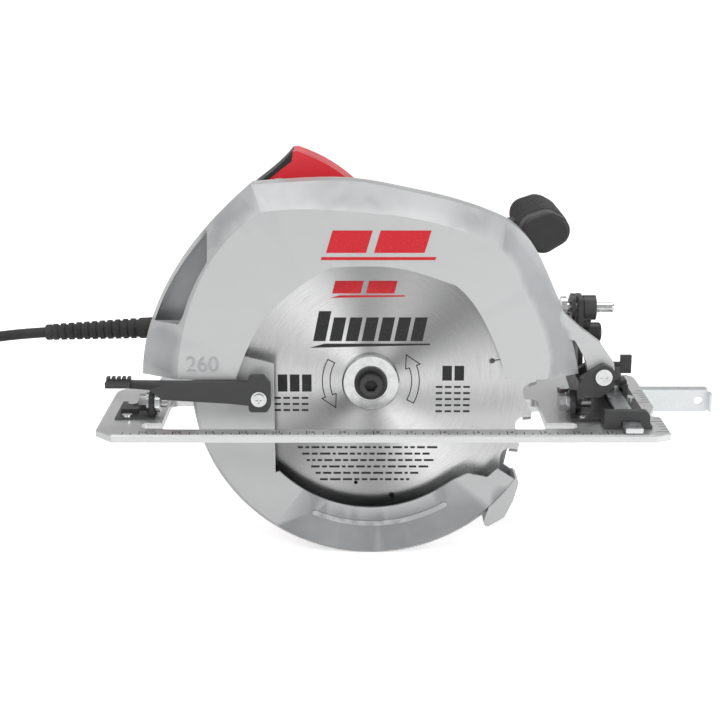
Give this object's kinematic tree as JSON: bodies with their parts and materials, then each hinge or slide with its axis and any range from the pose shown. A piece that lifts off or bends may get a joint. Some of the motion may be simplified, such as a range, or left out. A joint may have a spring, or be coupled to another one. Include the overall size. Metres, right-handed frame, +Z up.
{
  "type": "circular saw",
  "caption": "Corded sidewinder circular saw with tilting shoe, depth swing, spring-return lower guard, rip fence and geared motor.",
  "frame": {"origin": "on the sole of the shoe, straight below the arbor, in the middle plane of the blade", "axes": "+X along the cut, towards the front; +Y to the motor side; +Z up"},
  "size_m": [0.789, 0.2245, 0.3136],
  "materials": {
    "alu": "satin",
    "guard": "satin",
    "zinc": "satin",
    "steel": "satin",
    "blade_steel": "brushed",
    "carbide": "satin",
    "bright": "polished",
    "black_plastic": "textured",
    "red_plastic": "semi-gloss",
    "rubber": "matte",
    "black_steel": "satin",
    "cast": "cast",
    "copper": "satin",
    "laminations": "satin",
    "cord_rubber": "matte",
    "brass": "satin"
  },
  "bodies": {
    "base": {"shoe": "alu", "front_bracket": "black_steel", "rear_bracket": "black_steel", "bracket_rivets": "bright", "bevel_pins": "steel", "bevel_lock_bolt": "bright"},
    "bevel_carrier": {"bevel_yoke": "black_steel", "depth_pivot_pin": "bright", "depth_strap": "zinc"},
    "bevel_lock": {"bevel_lock_lever": "black_plastic"},
    "rip_guide": {"rip_fence": "zinc"},
    "rip_clamp": {"rip_clamp_knob": "black_plastic"},
    "lower_cover": {"lower_guard": "guard", "guard_lever": "black_plastic", "lever_screw": "bright"},
    "spindle": {"blade": "blade_steel", "carbide_tips": "carbide", "outer_flange": "bright", "inner_flange": "steel", "blade_bolt": "black_steel", "spindle_shaft": "steel", "bull_gear": "steel"},
    "armature": {"armature_shaft": "steel", "rotor_core": "laminations", "commutator": "copper", "cooling_fan": "black_plastic"},
    "trigger_lever": {"trigger": "black_plastic"},
    "lock_off": {"lock_off_button": "black_plastic"},
    "depth_lock": {"depth_lock_lever": "black_plastic"},
    "spindle_lock": {"spindle_lock_button": "black_plastic"},
    "saw_body": {"upper_guard": "guard", "gear_case": "cast", "guard_screws": "steel", "guard_retaining_ring": "steel", "guard_spring": "steel", "spindle_bearings": "bright", "rotor_bearings": "bright", "field_core": "laminations", "motor_housing": "red_plastic", "motor_end_cap": "black_plastic", "brush_holders": "brass", "brush_caps": "black_plastic", "handle_near_half": "red_plastic", "handle_far_half": "red_plastic", "handle_soft_grip": "rubber", "handle_screws": "steel", "switch_body": "black_plastic", "aux_handle_bar": "black_plastic", "aux_handle_grip": "rubber", "aux_handle_cap": "black_plastic", "depth_lock_bolt": "steel", "strain_relief": "cord_rubber", "cord_tube": "cord_rubber", "cord_coil": "cord_rubber", "cord_tie": "black_plastic", "plug_body": "cord_rubber", "plug_blades": "brass"}
  },
  "joints": [
    {"name": "bevel_tilt", "type": "hinge", "parent": "base", "child": "bevel_carrier", "pos_m": [0, 0, 0.016], "axis": [1, 0, 0], "range_deg": [0, 45]},
    {"name": "depth_swing", "type": "hinge", "parent": "bevel_carrier", "child": "saw_body", "pos_m": [0.18, 0, 0.041], "axis": [0, 1, 0], "range_deg": [0, 24]},
    {"name": "guard_swing", "type": "hinge", "parent": "saw_body", "child": "lower_cover", "pos_m": [0, 0, 0.0334], "axis": [0, 1, 0], "range_deg": [0, 115], "stiffness_Nm_per_rad": 0.15},
    {"name": "blade_spin", "type": "hinge", "parent": "saw_body", "child": "spindle", "pos_m": [0, 0, 0.0334], "axis": [0, -1, 0], "continuous": true},
    {"name": "armature_spin", "type": "hinge", "parent": "saw_body", "child": "armature", "pos_m": [0.003, 0, 0.06074], "axis": [0, -1, 0], "continuous": true},
    {"name": "trigger_pull", "type": "hinge", "parent": "saw_body", "child": "trigger_lever", "pos_m": [-0.062, 0.06, 0.16], "axis": [0, 1, 0], "range_deg": [0, 8], "stiffness_Nm_per_rad": 0.2},
    {"name": "lock_off_push", "type": "slide", "parent": "saw_body", "child": "lock_off", "axis": [0, -1, 0], "range_m": [0, 0.003], "stiffness_N_per_m": 200},
    {"name": "depth_lock_turn", "type": "hinge", "parent": "saw_body", "child": "depth_lock", "pos_m": [-0.10483, 0.03, 0.05095], "axis": [0, 1, 0], "range_deg": [0, 50]},
    {"name": "spindle_lock_push", "type": "slide", "parent": "saw_body", "child": "spindle_lock", "axis": [-1, 0, 0], "range_m": [0, 0.004], "stiffness_N_per_m": 300},
    {"name": "bevel_lock_turn", "type": "hinge", "parent": "base", "child": "bevel_lock", "pos_m": [0.176, 0.045, 0.082], "axis": [1, 0, 0], "range_deg": [0, 40]},
    {"name": "fence_slide", "type": "slide", "parent": "base", "child": "rip_guide", "axis": [0, 1, 0], "range_m": [0, 0.09]},
    {"name": "fence_clamp_turn", "type": "hinge", "parent": "base", "child": "rip_clamp", "pos_m": [0.198, 0.053, 0.026], "axis": [0, 0, 1], "range_deg": [0, 180]}
  ],
  "couplings": [
    {"joint": "armature_spin", "follows": "blade_spin", "ratio": -4}
  ]
}
